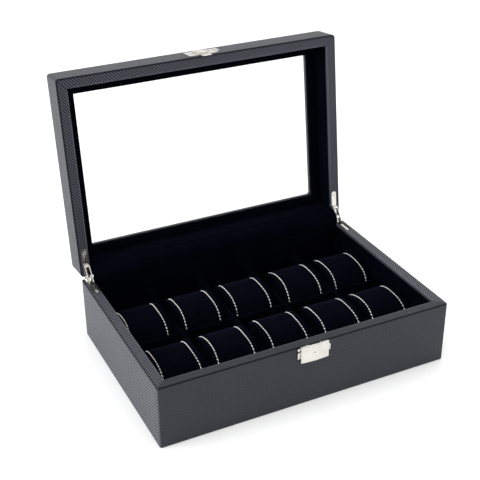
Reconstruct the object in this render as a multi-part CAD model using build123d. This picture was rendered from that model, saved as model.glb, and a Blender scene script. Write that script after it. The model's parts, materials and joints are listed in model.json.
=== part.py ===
from build123d import *
import math
import os

# Watch box: a leatherette-wrapped case with ten cushions, a glazed lid on two stay hinges and a small key lock.
# Millimetres. Origin: centre of the base's underside. +X to the right, +Y to the back, +Z up.
# The lid is drawn closed and then turned open about the hinge pins, because the box is stored open.

# Driving dimensions of the case.
WIDTH = 280.0
DEPTH = 188.0
BASE_HEIGHT = 60.5
LID_HEIGHT = 28.8
RIM_GAP = 0.3
OPEN_ANGLE = 97.0

# Layers of a wall, from outside to inside: leatherette, board, turned-in leatherette or lining.
SKIN = 1.0
BOARD = 8.0
RIM_WIDTH = 9.7
RETURN_DEPTH = 3.0
LINING = 1.6
HEM_WIDTH = 12.0
FELT = 1.2
HEM_LIFT = 0.2
BOTTOM_BOARD = 4.0
FLOOR_LINING = 1.3
CORNER_RADIUS = 2.0
LID_CORNER_RADIUS = 3.0
EDGE_RADIUS = 0.9

# Lid top.
WINDOW_MARGIN = 20.3
WINDOW_RADIUS = 3.0
RETAINER_RADIUS = 0.8
TOP_BOARD = 3.0
GLASS = 2.5
LIP = 1.5
WINDOW_RETURN = 0.7

# Compartments and cushions.
COLUMNS = 5
DIVIDER = 2.6
DIVIDER_TOP = 39.8
DIVIDER_NOTCH_Z = 23.0
NOTCH_CLEARANCE = 0.1
CUSHION_WIDTH = 46.0
CUSHION_LENGTH = 54.0
CUSHION_HEIGHT = 41.2
CUSHION_LIFT = 0.3
CUSHION_Y = 35.0
CUSHION_POWER = 2.3
CUSHION_EDGE = 3.0
CUSHION_SHIFT = {
    "front": (1.3, 0.3, 0.4, 1.2, -1.3),
    "back": (-1.0, -1.0, -1.2, 1.3, 0.1),
}

# Hinges: one in each side rim, mirrored.
HINGE_X = 134.0
PIVOT_BEHIND = 0.6
PIVOT_RISE = 1.5
LEAF_WIDTH = 5.2
LEAF_THICKNESS = 0.8
LEAF_DEPTH = 4.4
BASE_LEAF_LENGTH = 29.0
LID_LEAF_LENGTH = 27.7
BAR_WIDTH = 3.0
BAR_START = 14.0
MORTISE_DEPTH = 4.6
MORTISE_WIDTH = 6.0
BARREL_RADIUS = 1.9
PIN_RADIUS = 0.8
RUNNING_CLEARANCE = 0.05
KNUCKLE_WIDTH = 2.0
KNUCKLE_GAP = 0.15
EAR_RADIUS = 1.6
LEAF_INSET = 0.05
LID_LEAF_THICKNESS = 0.9
STAY_THICKNESS = 0.9
STAY_HEIGHT = 2.8
STAY_OFFSET = 2.1
STAY_PIN_RADIUS = 0.6
STAY_PIVOT = (10.5, -1.6)
STAY_END = (10.5, 1.2)

# Lock on the base and catch on the lid.
LOCK_X = 2.2
LOCK_Z = 52.6
CASE_WIDTH = 27.0
CASE_HEIGHT = 15.3
CASE_BULGE = 0.8
CASE_WALL = 0.7
CASE_DEPTH = 2.2
LOCK_PLATE = 0.6
BARREL_Z = 51.6
PLATE_SIZE = (26.0, 14.2)
PLUG_RADIUS = 2.2
PLUG_PROUD = 0.45
FLANGE_RADIUS = 2.9
FLANGE = 0.5
SPIGOT_RADIUS = 0.9
SPIGOT_ROOM = 1.0
SPIGOT_LENGTH = 3.5
CAM_RADIUS = 2.1
CAM_PIN_RADIUS = 0.5
BOLT_THICKNESS = 0.7
BOLT_GAP = 0.2
BOLT_REACH = 8.0
BOLT_BAR = 2.6
BOLT_NOSE = 1.7
BOLT_HOOK = (4.7, 57.7, 59.0)
FORK_HALF = 0.6
LUG_RADIUS = 0.85
LUG_PROUD = 1.7
LUGS = ((-15.2, 49.6, 54.6), (15.0, 51.0, 55.6))
STUD = (-15.0, 58.0, 1.2)
CATCH_WIDTH = 29.5
CATCH_LOW = 3.6
CATCH_HIGH = 18.6
CATCH_PLATE = 1.3
CATCH_CORNER = 1.2
CATCH_BAR_HALF = 5.4
CATCH_BAR_PROUD = 0.9
CATCH_LUG = 1.2
TONGUE_HALF = 4.6
TONGUE_LOW = 55.9
TONGUE_NOTCH = (3.0, 57.4, 59.3)
SCREW_HEAD = 0.7
RECESS_WIDTH = 0.35
RECESS_DEPTH = 0.25
RECESS_SHARE = 1.2

SIDE = WIDTH / 2
BACK = DEPTH / 2
LID_LOW = BASE_HEIGHT + RIM_GAP
LID_TOP = LID_LOW + LID_HEIGHT
PIVOT_Y = BACK + PIVOT_BEHIND
PIVOT_Z = BASE_HEIGHT + PIVOT_RISE
BOARD_SIDE = SIDE - SKIN - BOARD
BOARD_BACK = BACK - SKIN - BOARD
ROOM_SIDE = BOARD_SIDE - LINING
ROOM_BACK = BOARD_BACK - LINING
FLOOR_BOARD_TOP = FELT + BOTTOM_BOARD
FLOOR = FLOOR_BOARD_TOP + FLOOR_LINING
PITCH = (2 * ROOM_SIDE - (COLUMNS - 1) * DIVIDER) / COLUMNS + DIVIDER
GLASS_TOP = LID_TOP - SKIN - TOP_BOARD
LIP_LOW = GLASS_TOP - GLASS - LIP


def block(x0, x1, y0, y1, z0, z1):
    """Box between two opposite corners."""
    centre = Pos((x0 + x1) / 2, (y0 + y1) / 2, (z0 + z1) / 2)
    return centre * Box(x1 - x0, y1 - y0, z1 - z0)


def frame_block(half_x, half_y, z0, z1):
    """Box centred on the origin in plan."""
    return block(-half_x, half_x, -half_y, half_y, z0, z1)


def rod_x(x0, x1, y, z, radius):
    return Pos((x0 + x1) / 2, y, z) * Rot(0, 90, 0) * Cylinder(radius, x1 - x0)


def rod_y(x, y0, y1, z, radius):
    return Pos(x, (y0 + y1) / 2, z) * Rot(90, 0, 0) * Cylinder(radius, y1 - y0)


def rod_z(x, y, z0, z1, radius):
    return Pos(x, y, (z0 + z1) / 2) * Cylinder(radius, z1 - z0)


def side_plate(points, x0, x1):
    """Plate of constant thickness along X with an outline in Y and Z."""
    outline = make_face(Polyline(*points, close=True))
    return extrude(Plane.YZ.offset(x0) * outline, x1 - x0)


def front_plate(outline, y0, y1):
    """Plate of constant thickness along Y from an outline face in X and Z."""
    plane = Plane(origin=(0, y1, 0), x_dir=(1, 0, 0), z_dir=(0, -1, 0))
    return extrude(plane * outline, y1 - y0)


def opened(shape):
    """Turns a shape of the closed lid to the open position."""
    about_pin = Pos(0, PIVOT_Y, PIVOT_Z) * Rot(-OPEN_ANGLE, 0, 0)
    return about_pin * Pos(0, -PIVOT_Y, -PIVOT_Z) * shape


def mirrored(shape):
    return mirror(shape, about=Plane.YZ)


def save(name, shape):
    export_step(shape, os.path.join("parts", name + ".step"))


# ---- mortises and screw holes that several parts share ----


def slot_block(half_width, y_front, z0, z1):
    """Mortise in the right-hand rim: rounded at the front, open at the back of the box."""
    straight = block(HINGE_X - half_width, HINGE_X + half_width, y_front + half_width, BACK + 5, z0, z1)
    return straight + rod_z(HINGE_X, y_front + half_width, z0, z1, half_width)


def both_sides(shape):
    return shape + mirrored(shape)


def base_mortises():
    front = BACK - BASE_LEAF_LENGTH - 0.4
    return both_sides(slot_block(MORTISE_WIDTH / 2, front, BASE_HEIGHT - MORTISE_DEPTH, BASE_HEIGHT + 1))


def lid_mortises():
    front = BACK - LID_LEAF_LENGTH - 0.2
    leaf_pocket = slot_block(LEAF_WIDTH / 2 + 0.2, front, LID_LOW - 1, LID_LOW + 1.05)
    barrel_pocket = block(
        HINGE_X - 2.9, HINGE_X + 2.9, BACK - 3.4, BACK + 5, LID_LOW - 1, LID_LOW + 3.9
    )
    return both_sides(leaf_pocket + barrel_pocket)


UPWARD = Rot(180, 0, 0)
INWARD = Rot(90, 0, 0)


def screw_room(place, length, head_radius):
    """The hole that a countersunk screw fills; place puts its head and turns it from pointing down."""
    head = Pos(0, 0, -SCREW_HEAD / 2) * Cone(PIN_RADIUS, head_radius, SCREW_HEAD)
    shank = Pos(0, 0, -length / 2) * Cylinder(PIN_RADIUS, length)
    return place * (head + shank)


def screw(place, length, head_radius):
    """Countersunk screw with a cross recess."""
    arm = head_radius * RECESS_SHARE
    recess = Box(arm, RECESS_WIDTH, 2 * RECESS_DEPTH) + Box(RECESS_WIDTH, arm, 2 * RECESS_DEPTH)
    return screw_room(place, length, head_radius) - place * recess


BASE_SCREW = (Pos(HINGE_X, BACK - 25.0, BASE_HEIGHT - 0.05), 13.0, 1.2)
LID_SCREW = (Pos(HINGE_X, BACK - 24.2, LID_LOW + 0.05) * UPWARD, 11.0, 1.7)
CATCH_SCREW_X = (LOCK_X - 7.7, LOCK_X + 7.7)
CATCH_SCREW_Z = LID_LOW + (CATCH_LOW + CATCH_HIGH) / 2
LOCK_SCREW_X = (LOCK_X - 9.6, LOCK_X + 9.6)
LOCK_SCREW_Z = 47.4
LOCK_SCREWS = [(Pos(x, -BACK - LOCK_PLATE, LOCK_SCREW_Z) * INWARD, 6.5, 1.3) for x in LOCK_SCREW_X]
CATCH_SCREWS = [(Pos(x, -BACK - CATCH_PLATE, CATCH_SCREW_Z) * INWARD, 7.0, 1.6) for x in CATCH_SCREW_X]


def screw_rooms(specs):
    holes = screw_room(*specs[0])
    for spec in specs[1:]:
        holes += screw_room(*spec)
    return holes


def spigot_hole(radius, depth):
    """Hole for the rear spigot of the key barrel, from in front of the box's face inwards."""
    return rod_y(LOCK_X, -BACK - 2, -BACK + depth, BARREL_Z, radius)


# ---- base ----


def base_wrap():
    """Leatherette skin: outer faces, hem under the base, rim and the strip turned inside."""
    skin = frame_block(SIDE, BACK, HEM_LIFT, BASE_HEIGHT)
    skin = fillet(skin.edges().filter_by(Axis.Z), CORNER_RADIUS)
    skin = fillet(skin.faces().sort_by(Axis.Z)[-1].edges(), EDGE_RADIUS)
    skin -= frame_block(SIDE - SKIN, BACK - SKIN, FELT, BASE_HEIGHT - SKIN)
    skin -= frame_block(SIDE - RIM_WIDTH, BACK - RIM_WIDTH, BASE_HEIGHT - 2 * SKIN, BASE_HEIGHT + 1)
    skin -= frame_block(SIDE - HEM_WIDTH, BACK - HEM_WIDTH, -1, FELT + 1)
    turned_in = frame_block(BOARD_SIDE, BOARD_BACK, BASE_HEIGHT - RETURN_DEPTH, BASE_HEIGHT - SKIN)
    turned_in -= frame_block(SIDE - RIM_WIDTH, BACK - RIM_WIDTH, 0, BASE_HEIGHT)
    skin += turned_in
    skin -= base_mortises()
    skin -= screw_rooms(LOCK_SCREWS)
    return skin - spigot_hole(SPIGOT_ROOM, 2)


def base_side_board():
    """Right-hand wall board, over the full depth."""
    board = block(BOARD_SIDE, SIDE - SKIN, -BACK + SKIN, BACK - SKIN, FELT, BASE_HEIGHT - SKIN)
    board -= base_mortises()
    return board - screw_room(*BASE_SCREW)


def base_front_board():
    board = block(-BOARD_SIDE, BOARD_SIDE, -BACK + SKIN, -BOARD_BACK, FELT, BASE_HEIGHT - SKIN)
    board -= screw_rooms(LOCK_SCREWS)
    return board - spigot_hole(SPIGOT_ROOM, SPIGOT_LENGTH + 0.5)


def base_back_board():
    return block(-BOARD_SIDE, BOARD_SIDE, BOARD_BACK, BACK - SKIN, FELT, BASE_HEIGHT - SKIN)


def side_lining(z0, z1):
    return block(ROOM_SIDE, BOARD_SIDE, -BOARD_BACK, BOARD_BACK, z0, z1)


def front_lining(z0, z1):
    return block(-ROOM_SIDE, ROOM_SIDE, -BOARD_BACK, -ROOM_BACK, z0, z1)


def divider_positions():
    return [PITCH * (i - (COLUMNS - 2) / 2) for i in range(COLUMNS - 1)]


def round_topped(wall, along):
    top = wall.faces().sort_by(Axis.Z)[-1].edges().filter_by(along)
    return fillet(top, DIVIDER / 2 - 0.1)


def long_divider():
    """Lengthwise partition, notched from above where the cross partitions drop in."""
    wall = block(-ROOM_SIDE, ROOM_SIDE, -DIVIDER / 2, DIVIDER / 2, FLOOR, DIVIDER_TOP)
    wall = round_topped(wall, Axis.X)
    half = DIVIDER / 2 + NOTCH_CLEARANCE
    for x in divider_positions():
        wall -= block(x - half, x + half, -DIVIDER, DIVIDER, DIVIDER_NOTCH_Z, DIVIDER_TOP + 1)
    return wall


def cross_divider(x):
    """Front-to-back partition, notched from below over the lengthwise one."""
    wall = block(x - DIVIDER / 2, x + DIVIDER / 2, -ROOM_BACK, ROOM_BACK, FLOOR, DIVIDER_TOP)
    wall = round_topped(wall, Axis.Y)
    half = DIVIDER / 2 + NOTCH_CLEARANCE
    return wall - block(x - DIVIDER, x + DIVIDER, -half, half, FLOOR - 1, DIVIDER_NOTCH_Z)


# ---- cushions ----


def cushion_section():
    """Rounded oval in Y and Z: a superellipse through smooth points."""
    points = []
    count = 24
    for i in range(count):
        angle = 2 * math.pi * i / count
        c = math.cos(angle)
        s = math.sin(angle)
        y = CUSHION_LENGTH / 2 * math.copysign(abs(c) ** (2 / CUSHION_POWER), c)
        z = CUSHION_HEIGHT / 2 * math.copysign(abs(s) ** (2 / CUSHION_POWER), s)
        points.append((y, z))
    return make_face(Spline(*points, periodic=True))


def cushion(x, y):
    """Plain closed solid of a cushion, with bevelled ends."""
    z = FLOOR + CUSHION_LIFT + CUSHION_HEIGHT / 2
    half = CUSHION_WIDTH / 2
    body = extrude(Plane.YZ.offset(-half) * cushion_section(), CUSHION_WIDTH)
    ends = body.faces().filter_by(Axis.X)
    body = chamfer(ends.edges(), CUSHION_EDGE)
    return Pos(x, y, z) * body


# ---- lid, drawn closed ----


def lid_wrap():
    """Leatherette skin of the lid: outer faces, top with the window edge, rim and turned-in strip."""
    skin = frame_block(SIDE, BACK, LID_LOW, LID_TOP)
    skin = fillet(skin.edges().filter_by(Axis.Z), LID_CORNER_RADIUS)
    skin = fillet(skin.faces().sort_by(Axis.Z)[-1].edges(), EDGE_RADIUS)
    skin = fillet(skin.faces().sort_by(Axis.Z)[0].edges(), EDGE_RADIUS)
    core = frame_block(SIDE - SKIN, BACK - SKIN, LID_LOW + SKIN, LID_TOP - SKIN)
    skin -= fillet(core.edges().filter_by(Axis.Z), LID_CORNER_RADIUS - SKIN)
    skin -= frame_block(SIDE - RIM_WIDTH, BACK - RIM_WIDTH, LID_LOW - 1, LID_LOW + 2 * SKIN)
    turned_in = frame_block(BOARD_SIDE, BOARD_BACK, LID_LOW + SKIN, LID_LOW + RETURN_DEPTH)
    turned_in -= frame_block(SIDE - RIM_WIDTH, BACK - RIM_WIDTH, LID_LOW, LID_LOW + 5)
    skin += turned_in
    edge_margin = WINDOW_MARGIN - WINDOW_RETURN
    window_edge = window_block(edge_margin, GLASS_TOP, LID_TOP - SKIN)
    skin += window_edge
    skin -= window_block(WINDOW_MARGIN, GLASS_TOP - 1, LID_TOP + 1)
    skin -= lid_mortises()
    return skin - screw_rooms(CATCH_SCREWS)


def window_block(margin, z0, z1, radius=WINDOW_RADIUS):
    """Prism of the window opening, with rounded corners, margin in from the lid's outer faces."""
    prism = frame_block(SIDE - margin, BACK - margin, z0, z1)
    return fillet(prism.edges().filter_by(Axis.Z), radius)


def lid_side_board():
    board = block(BOARD_SIDE, SIDE - SKIN, -BACK + SKIN, BACK - SKIN, LID_LOW + SKIN, GLASS_TOP)
    corners = board.edges().filter_by(Axis.Z).group_by(Axis.X)[-1]
    board = fillet(corners, LID_CORNER_RADIUS - SKIN)
    board -= lid_mortises()
    return board - screw_room(*LID_SCREW)


def lid_front_board():
    board = block(-BOARD_SIDE, BOARD_SIDE, -BACK + SKIN, -BOARD_BACK, LID_LOW + SKIN, GLASS_TOP)
    return board - screw_rooms(CATCH_SCREWS)


def lid_back_board():
    return block(-BOARD_SIDE, BOARD_SIDE, BOARD_BACK, BACK - SKIN, LID_LOW + SKIN, GLASS_TOP)


def lid_top_board():
    """Window frame board under the top skin."""
    board = frame_block(SIDE - SKIN, BACK - SKIN, GLASS_TOP, LID_TOP - SKIN)
    board = fillet(board.edges().filter_by(Axis.Z), LID_CORNER_RADIUS - SKIN)
    return board - window_block(WINDOW_MARGIN - WINDOW_RETURN, GLASS_TOP - 1, LID_TOP)


def glass_pane():
    return frame_block(BOARD_SIDE - 0.3, BOARD_BACK - 0.3, GLASS_TOP - GLASS, GLASS_TOP)


def glass_retainer():
    """Velvet-covered frame that holds the pane up against the top board."""
    frame = frame_block(BOARD_SIDE, BOARD_BACK, LIP_LOW, LIP_LOW + LIP)
    return frame - window_block(WINDOW_MARGIN, LIP_LOW - 1, GLASS_TOP, RETAINER_RADIUS)


# ---- hinges, right-hand side, lid parts drawn closed ----


def half(width):
    return (HINGE_X - width / 2, HINGE_X + width / 2)


def rounded_bar(x0, x1, front, back, z0, z1):
    """Flat bar along Y with a round front end."""
    radius = (x1 - x0) / 2
    bar = block(x0, x1, front + radius, back, z0, z1)
    return bar + rod_z(HINGE_X, front + radius, z0, z1, radius)


def base_leaf():
    """Sunk leaf with a raised screw bar at its front and the middle knuckle at its back."""
    foot = BASE_HEIGHT - LEAF_DEPTH
    floor_top = foot + LEAF_THICKNESS
    front = BACK - BASE_LEAF_LENGTH
    leaf = rounded_bar(*half(LEAF_WIDTH), front, BACK - 0.6, foot, floor_top)
    bar_end = front + 0.5
    leaf += rounded_bar(*half(BAR_WIDTH), bar_end, BACK - BAR_START, floor_top, BASE_HEIGHT - LEAF_INSET)
    k0, k1 = half(KNUCKLE_WIDTH)
    web_outline = [
        (BACK - 0.8, foot),
        (BACK - 3.4, foot),
        (BACK - 3.4, foot + 2.8),
        (PIVOT_Y - 1.6, PIVOT_Z + 0.6),
        (PIVOT_Y - 0.4, PIVOT_Z + 1.2),
        (PIVOT_Y + 0.3, PIVOT_Z - 1.1),
    ]
    knuckle = side_plate(web_outline, k0, k1) + rod_x(k0, k1, PIVOT_Y, PIVOT_Z, BARREL_RADIUS)
    knuckle -= rod_x(k0 - 1, k1 + 1, PIVOT_Y, PIVOT_Z, PIN_RADIUS + RUNNING_CLEARANCE)
    return leaf + knuckle - screw_room(*BASE_SCREW)


def lid_leaf():
    """Flush leaf with two outer knuckles and an ear that carries the stays."""
    z0 = LID_LOW + LEAF_INSET
    z1 = z0 + LID_LEAF_THICKNESS
    x0, x1 = half(LEAF_WIDTH)
    plate = rounded_bar(x0, x1, BACK - LID_LEAF_LENGTH, BACK - 8.8, z0, z1)
    inner = KNUCKLE_WIDTH / 2 + KNUCKLE_GAP
    for low, high in ((x0, HINGE_X - inner), (HINGE_X + inner, x1)):
        plate += block(low, high, BACK - 9.0, PIVOT_Y, z0, z1)
        plate += rod_x(low, high, PIVOT_Y, PIVOT_Z, BARREL_RADIUS)
    reach, drop = STAY_PIVOT
    e0, e1 = half(BAR_WIDTH)
    ear_y = BACK - reach
    ear_z = LID_LOW + drop
    plate += block(e0, e1, ear_y - EAR_RADIUS, ear_y + EAR_RADIUS, ear_z, z1)
    plate += rod_x(e0, e1, ear_y, ear_z, EAR_RADIUS)
    plate -= rod_x(e0 - 1, e1 + 1, ear_y, ear_z, STAY_PIN_RADIUS + RUNNING_CLEARANCE)
    plate -= rod_x(x0 - 1, x1 + 1, PIVOT_Y, PIVOT_Z, PIN_RADIUS)
    return plate - screw_room(*LID_SCREW)


def hinge_pin():
    x0, x1 = half(LEAF_WIDTH)
    return rod_x(x0, x1, PIVOT_Y, PIVOT_Z, PIN_RADIUS)


def point_when_open(y, z):
    """Where a point of the closed lid lies when the lid is open."""
    turn = math.radians(OPEN_ANGLE)
    dy = y - PIVOT_Y
    dz = z - PIVOT_Z
    open_y = PIVOT_Y + dy * math.cos(turn) + dz * math.sin(turn)
    open_z = PIVOT_Z - dy * math.sin(turn) + dz * math.cos(turn)
    return open_y, open_z


def stay_ends():
    """The stay's pivot on the lid ear and its lower end, with the lid open."""
    reach, drop = STAY_PIVOT
    top = point_when_open(BACK - reach, LID_LOW + drop)
    low = (BACK - STAY_END[0], BASE_HEIGHT + STAY_END[1])
    return top, low


def stays():
    """Pair of flat stay bars, one each side of the ear, drawn with the lid open."""
    (top_y, top_z), (low_y, low_z) = stay_ends()
    length = math.hypot(low_y - top_y, low_z - top_z)
    across = ((low_z - top_z) / length, -(low_y - top_y) / length)
    reach = STAY_HEIGHT / 2
    outline = [
        (top_y + across[0] * reach, top_z + across[1] * reach),
        (low_y + across[0] * reach, low_z + across[1] * reach),
        (low_y - across[0] * reach, low_z - across[1] * reach),
        (top_y - across[0] * reach, top_z - across[1] * reach),
    ]
    bars = []
    for side in (-1, 1):
        middle = HINGE_X + side * STAY_OFFSET
        x0 = middle - STAY_THICKNESS / 2
        x1 = middle + STAY_THICKNESS / 2
        bar = side_plate(outline, x0, x1)
        bar += rod_x(x0, x1, top_y, top_z, reach)
        bar += rod_x(x0, x1, low_y, low_z, reach)
        bar -= rod_x(x0 - 1, x1 + 1, top_y, top_z, STAY_PIN_RADIUS)
        bar -= rod_x(x0 - 1, x1 + 1, low_y, low_z, STAY_PIN_RADIUS)
        bars.append(bar)
    return Compound(children=bars)


def stay_pin():
    (top_y, top_z), low = stay_ends()
    outer = STAY_OFFSET + STAY_THICKNESS / 2
    return rod_x(HINGE_X - outer, HINGE_X + outer, top_y, top_z, STAY_PIN_RADIUS)


# ---- lock and catch ----


def bulged_outline(width, height, bulge):
    """Rectangle centred on the origin whose top and bottom edges bow outwards."""
    w = width / 2
    h = height / 2
    top = ThreePointArc((-w, h), (0, h + bulge), (w, h))
    right = Line((w, h), (w, -h))
    bottom = ThreePointArc((w, -h), (0, -h - bulge), (-w, -h))
    left = Line((-w, -h), (-w, h))
    return make_face([top, right, bottom, left])


def lock_plate():
    """Back plate of the lock with its side lugs and a stud."""
    y0 = -BACK - LOCK_PLATE
    plate = front_plate(Pos(LOCK_X, LOCK_Z) * Rectangle(*PLATE_SIZE), y0, -BACK)
    lug_y = -BACK - LUG_PROUD / 2
    for x, z0, z1 in LUGS:
        near, far = sorted((x, 0.8 * x))
        plate += block(LOCK_X + near, LOCK_X + far, y0, -BACK, z0 - 0.8, z1 + 0.8)
        plate += rod_z(LOCK_X + x, lug_y, z0, z1, LUG_RADIUS)
        for z in (z0, z1):
            plate += Pos(LOCK_X + x, lug_y, z) * Sphere(LUG_RADIUS)
    stud_x, stud_z, stud_radius = STUD
    stud_low = stud_z - stud_radius
    plate += block(LOCK_X + stud_x, LOCK_X + stud_x + 3, y0, -BACK, stud_low, stud_low + 2 * stud_radius)
    plate += Pos(LOCK_X + stud_x, -BACK - 0.8, stud_z) * Sphere(stud_radius)
    plate -= block(-SIDE, SIDE, -BACK, -BACK + 5, 0, BASE_HEIGHT + 5)
    plate -= screw_rooms(LOCK_SCREWS)
    return plate - spigot_hole(SPIGOT_RADIUS + RUNNING_CLEARANCE, 2)


def lock_case():
    """Front shell of the lock, open at the back, with a slot in its top for the catch."""
    back_y = -BACK - LOCK_PLATE
    front_y = back_y - CASE_DEPTH
    outer = Pos(LOCK_X, LOCK_Z) * bulged_outline(CASE_WIDTH, CASE_HEIGHT, CASE_BULGE)
    inner_width = CASE_WIDTH - 2 * CASE_WALL
    inner_height = CASE_HEIGHT - 2 * CASE_WALL
    inner = Pos(LOCK_X, LOCK_Z) * bulged_outline(inner_width, inner_height, CASE_BULGE)
    case = front_plate(outer, front_y, back_y)
    front_edges = case.faces().sort_by(Axis.Y)[0].edges()
    case = fillet(front_edges, 0.5)
    case -= front_plate(inner, front_y + CASE_WALL, back_y)
    slot_half = TONGUE_HALF + 0.5
    slot_front = back_y - BOLT_GAP - BOLT_THICKNESS - 0.35
    case -= block(LOCK_X - slot_half, LOCK_X + slot_half, slot_front, back_y, LOCK_Z + 5, LOCK_Z + 12)
    return case - rod_y(LOCK_X, front_y - 1, back_y, BARREL_Z, PLUG_RADIUS + RUNNING_CLEARANCE)


def key_barrel():
    """Turning plug with a key slot, a flange inside the case, a rear spigot and an off-centre cam pin."""
    back_y = -BACK - LOCK_PLATE
    face_y = back_y - CASE_DEPTH - PLUG_PROUD
    flange_y = back_y - CASE_DEPTH + CASE_WALL + RUNNING_CLEARANCE
    plug = rod_y(LOCK_X, face_y, flange_y + 0.1, BARREL_Z, PLUG_RADIUS)
    plug = fillet(plug.faces().sort_by(Axis.Y)[0].edges(), 0.3)
    plug += rod_y(LOCK_X, flange_y, flange_y + FLANGE, BARREL_Z, FLANGE_RADIUS)
    inside_y = flange_y + FLANGE - 0.1
    plug += rod_y(LOCK_X, inside_y, -BACK + SPIGOT_LENGTH, BARREL_Z, SPIGOT_RADIUS)
    start = math.radians(135)
    cam_x = LOCK_X + CAM_RADIUS * math.cos(start)
    cam_z = BARREL_Z + CAM_RADIUS * math.sin(start)
    plug += rod_y(cam_x, inside_y, back_y - 0.1, cam_z, CAM_PIN_RADIUS)
    for side in (-1, 1):
        plug -= rod_y(LOCK_X, face_y - 1, face_y + 0.8, BARREL_Z + 1.25 * side, 0.5)
    ring = rod_y(LOCK_X, face_y - 1, face_y + 0.25, BARREL_Z, 1.8)
    ring -= rod_y(LOCK_X, face_y - 2, face_y + 1, BARREL_Z, 1.2)
    return plug - ring


def lock_bolt():
    """Sliding bolt: its fork takes the cam pin, and its hook shoots into the notch of the catch."""
    y1 = -BACK - LOCK_PLATE - BOLT_GAP
    y0 = y1 - BOLT_THICKNESS
    cam_x = LOCK_X - CAM_RADIUS * math.cos(math.radians(45))
    left = cam_x - BOLT_REACH
    fork_low = BARREL_Z + SPIGOT_RADIUS + 0.15
    hook_length, hook_low, hook_high = BOLT_HOOK
    body = block(left, cam_x + 1.9, y0, y1, fork_low, fork_low + BOLT_BAR)
    body -= block(cam_x - FORK_HALF, cam_x + FORK_HALF, y0 - 1, y1 + 1, fork_low - 1, fork_low + 1.9)
    body += block(left, left + BOLT_NOSE, y0, y1, fork_low, hook_high)
    return body + block(left, left + hook_length, y0, y1, hook_low, hook_high)


def catch_tongue(plate_low):
    """Tongue under the catch, drawn closed, with a notch in its left side for the bolt's hook."""
    y1 = -BACK - LOCK_PLATE - BOLT_GAP
    y0 = y1 - BOLT_THICKNESS
    notch_depth, notch_low, notch_high = TONGUE_NOTCH
    left = LOCK_X - TONGUE_HALF
    right = LOCK_X + TONGUE_HALF
    tongue = block(left, right, y0, y1, TONGUE_LOW, plate_low + 1)
    return tongue - block(left - 1, left + notch_depth, y0 - 1, y1 + 1, notch_low, notch_high)


def catch():
    """Lid catch: a plate with two screw holes, a raised bar, a side lug and the locking tongue."""
    y_face = -BACK - CATCH_PLATE
    z0 = LID_LOW + CATCH_LOW
    z1 = LID_LOW + CATCH_HIGH
    left = LOCK_X - CATCH_WIDTH / 2
    right = LOCK_X + CATCH_WIDTH / 2
    plate = block(left, right, y_face, -BACK, z0, z1)
    plate = fillet(plate.edges().filter_by(Axis.Y), CATCH_CORNER)
    bar_low = LOCK_X - CATCH_BAR_HALF
    bar = block(bar_low, bar_low + 2 * CATCH_BAR_HALF, y_face - CATCH_BAR_PROUD, y_face, z0, z1 - 1.5)
    plate += fillet(bar.faces().sort_by(Axis.Y)[0].edges().filter_by(Axis.Z), 0.5)
    plate += block(right - 1, right + 1.5, -BACK - 0.8, -BACK, z0 + 2.5, z1 - 2.5)
    plate += rod_z(right + 1.3, -BACK - CATCH_LUG, z0 + 2.5, z1 - 2.5, CATCH_LUG)
    return plate + catch_tongue(z0) - screw_rooms(CATCH_SCREWS)


# ---- velvet strip across the hinge gap ----


def hinge_flap():
    """Thin strip from the top of the base's back wall to the lid's rim, drawn with the lid open."""
    half_width = ROOM_SIDE - 3.4
    thickness = 0.8
    wall_y = BACK - RIM_WIDTH - 0.05
    low_z = BASE_HEIGHT - RETURN_DEPTH + 0.1
    bend_z = BASE_HEIGHT + 0.5
    end_y, end_z = point_when_open(BACK - RIM_WIDTH, LID_LOW - 0.35)
    outline = [
        (wall_y, low_z),
        (wall_y, bend_z),
        (end_y, end_z),
        (end_y - thickness, end_z),
        (wall_y - thickness, bend_z + thickness),
        (wall_y - thickness, low_z),
    ]
    return side_plate(outline, -half_width, half_width)


# ---- writing the parts ----


def write_base():
    save("base_leatherette", base_wrap())
    save("base_board_right", base_side_board())
    save("base_board_left", mirrored(base_side_board()))
    save("base_board_front", base_front_board())
    save("base_board_back", base_back_board())
    save("base_board_bottom", frame_block(BOARD_SIDE, BOARD_BACK, FELT, FLOOR_BOARD_TOP))
    save("underside_felt", frame_block(SIDE - HEM_WIDTH - 0.2, BACK - HEM_WIDTH - 0.2, 0, FELT))
    save("floor_lining", frame_block(BOARD_SIDE, BOARD_BACK, FLOOR_BOARD_TOP, FLOOR))
    top = BASE_HEIGHT - RETURN_DEPTH
    save("base_lining_right", side_lining(FLOOR, top))
    save("base_lining_left", mirrored(side_lining(FLOOR, top)))
    save("base_lining_front", front_lining(FLOOR, top))
    save("base_lining_back", mirror(front_lining(FLOOR, top), about=Plane.XZ))
    save("divider_lengthwise", long_divider())
    for number, x in enumerate(divider_positions(), 1):
        save(f"divider_cross_{number}", cross_divider(x))


def write_cushions():
    for row, sign in (("front", -1), ("back", 1)):
        for column in range(COLUMNS):
            x = PITCH * (column - (COLUMNS - 1) / 2) + CUSHION_SHIFT[row][column]
            save(f"cushion_{row}_{column + 1}", cushion(x, sign * CUSHION_Y))


def write_lid():
    save("lid_leatherette", opened(lid_wrap()))
    save("lid_board_right", opened(lid_side_board()))
    save("lid_board_left", opened(mirrored(lid_side_board())))
    save("lid_board_front", opened(lid_front_board()))
    save("lid_board_back", opened(lid_back_board()))
    save("lid_board_top", opened(lid_top_board()))
    save("glass_pane", opened(glass_pane()))
    save("glass_retainer", opened(glass_retainer()))
    low = LID_LOW + RETURN_DEPTH
    save("lid_lining_right", opened(side_lining(low, LIP_LOW)))
    save("lid_lining_left", opened(mirrored(side_lining(low, LIP_LOW))))
    save("lid_lining_front", opened(front_lining(low, LIP_LOW)))
    save("lid_lining_back", opened(mirror(front_lining(low, LIP_LOW), about=Plane.XZ)))


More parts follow.
